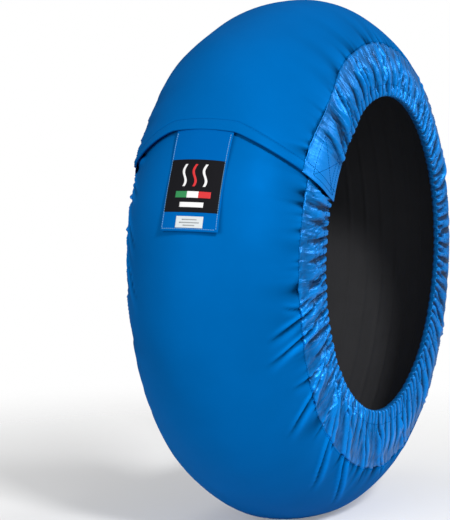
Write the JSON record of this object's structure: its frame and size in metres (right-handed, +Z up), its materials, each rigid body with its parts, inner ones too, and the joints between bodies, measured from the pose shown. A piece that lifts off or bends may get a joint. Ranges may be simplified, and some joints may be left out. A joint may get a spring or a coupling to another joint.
{
  "type": "motorcycle tire warmer",
  "caption": "Padded electric warmer that wraps a motorcycle's rear tyre, closed by a touch-and-close flap with a pull tab, with gathered elastic skirts over both sidewalls.",
  "frame": {"origin": "centre of the flat patch that the warmer stands on", "axes": "+Z up, Y along the wheel's axle with the side that the picture shows towards -Y, and the flap with its pull tab towards -X"},
  "size_m": [0.664, 0.2494, 0.657],
  "materials": {
    "cover_nylon": "matt coated nylon",
    "insulation_felt": "needled felt",
    "heater_wire": "insulated resistance wire",
    "lining_cloth": "heat resistant cloth",
    "skirt_nylon": "shiny nylon",
    "elastic": "elastic cord",
    "tape": "touch and close tape",
    "label_cloth": "woven label",
    "care_cloth": "printed satin",
    "thermostat_case": "plain metal case",
    "grommet_rubber": "moulded rubber",
    "red_sleeve": "silicone sleeve",
    "black_sleeve": "silicone sleeve"
  },
  "bodies": {
    "root": {"outer_cover": "cover_nylon", "insulation_pad": "insulation_felt", "heater_wire": "heater_wire", "inner_lining": "lining_cloth", "side_skirt_near": "skirt_nylon", "side_skirt_far": "skirt_nylon", "hem_elastic_near": "elastic", "hem_elastic_far": "elastic", "closure_loop_tape": "tape", "closure_hook_tape": "tape", "corner_loop_tape_near": "tape", "corner_hook_tape_near": "tape", "corner_loop_tape_far": "tape", "corner_hook_tape_far": "tape", "pull_tab": "cover_nylon", "label_patch": "label_cloth", "care_label": "care_cloth", "thermostat": "thermostat_case", "cable_grommet": "grommet_rubber", "supply_lead": "red_sleeve", "thermostat_link": "red_sleeve", "return_lead": "black_sleeve"}
  },
  "joints": []
}
